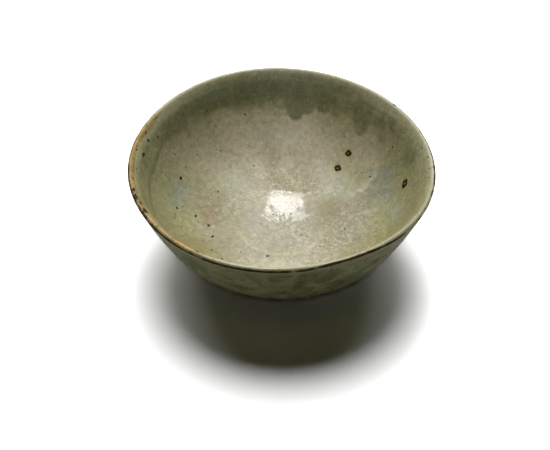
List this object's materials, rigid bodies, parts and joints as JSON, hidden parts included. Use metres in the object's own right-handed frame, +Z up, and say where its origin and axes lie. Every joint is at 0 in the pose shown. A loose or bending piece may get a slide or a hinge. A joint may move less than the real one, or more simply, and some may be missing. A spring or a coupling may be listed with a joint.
{
  "type": "ceramic bowl",
  "caption": "Hand-thrown stoneware bowl with a crackled grey-green glaze, a thin iron-brown lip, a shallow round well in its floor and a turned foot ring that it stands on.",
  "frame": {"origin": "on the table, below the middle of the rim", "axes": "+Z up through the mouth; -Y towards the picture's camera, +X to its right, so the iron spots lie to the right of the middle"},
  "size_m": [0.1754, 0.1753, 0.0644],
  "materials": {
    "stoneware": "fired grey-buff clay, unglazed",
    "foot_clay": "bare clay burnt orange-brown where the glaze was wiped off",
    "pooled_glaze": "thick glossy pool of glaze, finely crackled",
    "inner_glaze": "glossy mottled grey-green glaze, crackled and pitted",
    "lip_glaze": "thin glaze burnt ochre and iron brown",
    "outer_glaze": "glossy olive grey-green glaze",
    "iron": "dark burst iron blister",
    "kiln_grit": "rough sandy fire clay"
  },
  "bodies": {
    "root": {"clay_bowl": "stoneware", "foot_ring": "foot_clay", "well_glaze": "pooled_glaze", "inner_glaze": "inner_glaze", "lip_glaze": "lip_glaze", "outer_glaze": "outer_glaze", "foot_glaze": "outer_glaze", "base_glaze": "outer_glaze", "iron_spot_upper": "iron", "iron_spot_lower": "iron", "iron_spot_right": "iron", "kiln_pad_1": "kiln_grit", "kiln_pad_2": "kiln_grit", "kiln_pad_3": "kiln_grit", "kiln_pad_4": "kiln_grit", "kiln_pad_5": "kiln_grit"}
  },
  "joints": []
}
